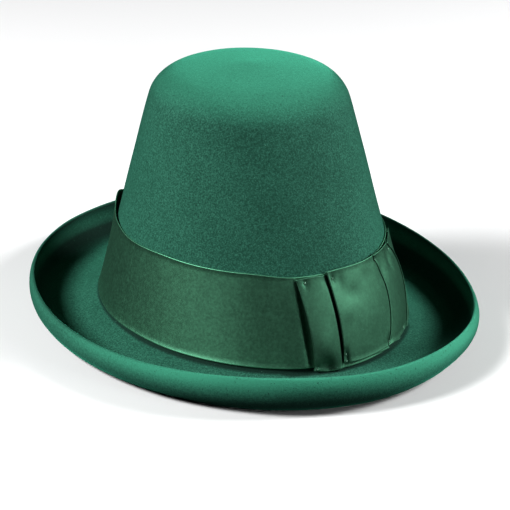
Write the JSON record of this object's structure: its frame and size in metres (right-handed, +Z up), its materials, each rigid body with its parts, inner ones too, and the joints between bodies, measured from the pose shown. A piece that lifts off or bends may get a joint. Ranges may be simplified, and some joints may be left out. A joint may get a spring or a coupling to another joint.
{
  "type": "leprechaun hat",
  "caption": "Tall tapering felt hat with a rolled brim, a wide ribbon band and a flat knife-pleated ribbon bow at the front left, standing on its brim.",
  "frame": {"origin": "on the table the hat rests on, under the middle of the brim", "axes": "+Z up, the wearer faces -Y, the wearer's left is +X"},
  "size_m": [0.257, 0.2954, 0.1563],
  "materials": {
    "felt": "blocked wool felt, matt with a short nap",
    "ribbon": "fine ribbed ribbon with a low sheen"
  },
  "bodies": {
    "root": {"felt_body": "felt", "hatband": "ribbon", "bow": "ribbon"}
  },
  "joints": []
}
